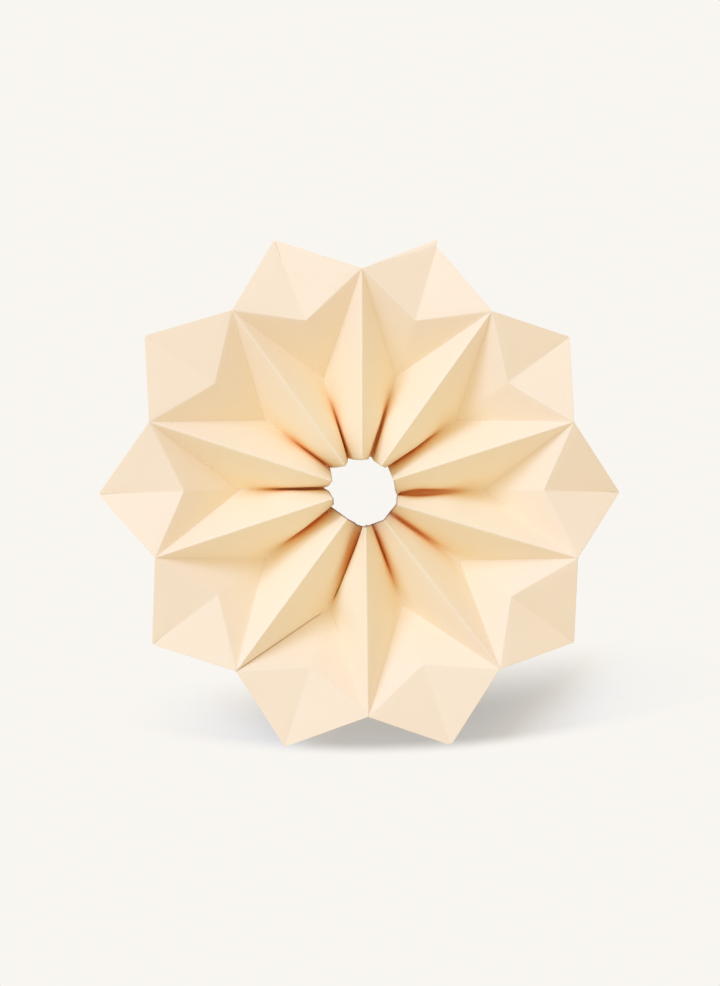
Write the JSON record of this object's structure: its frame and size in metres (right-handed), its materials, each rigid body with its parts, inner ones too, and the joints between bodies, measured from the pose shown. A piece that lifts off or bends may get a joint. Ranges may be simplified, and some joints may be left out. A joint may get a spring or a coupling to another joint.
{
  "type": "paper star",
  "caption": "Round decorative star with blunt points, accordion-folded from one strip of cream paper and gathered by a thread round an open centre.",
  "frame": {"origin": "on the star's axis, at the height of the surface that the inner valleys rest on", "axes": "+Z along the star's axis, out of its front; +X through a point, so a ridge lies along +Y"},
  "size_m": [0.2984, 0.285, 0.0425],
  "materials": {
    "cream_paper": "uncoated heavy paper, matt",
    "cotton_thread": "twisted natural cotton, matt"
  },
  "bodies": {
    "root": {"folded_star": "cream_paper", "gathering_thread": "cotton_thread"}
  },
  "joints": []
}
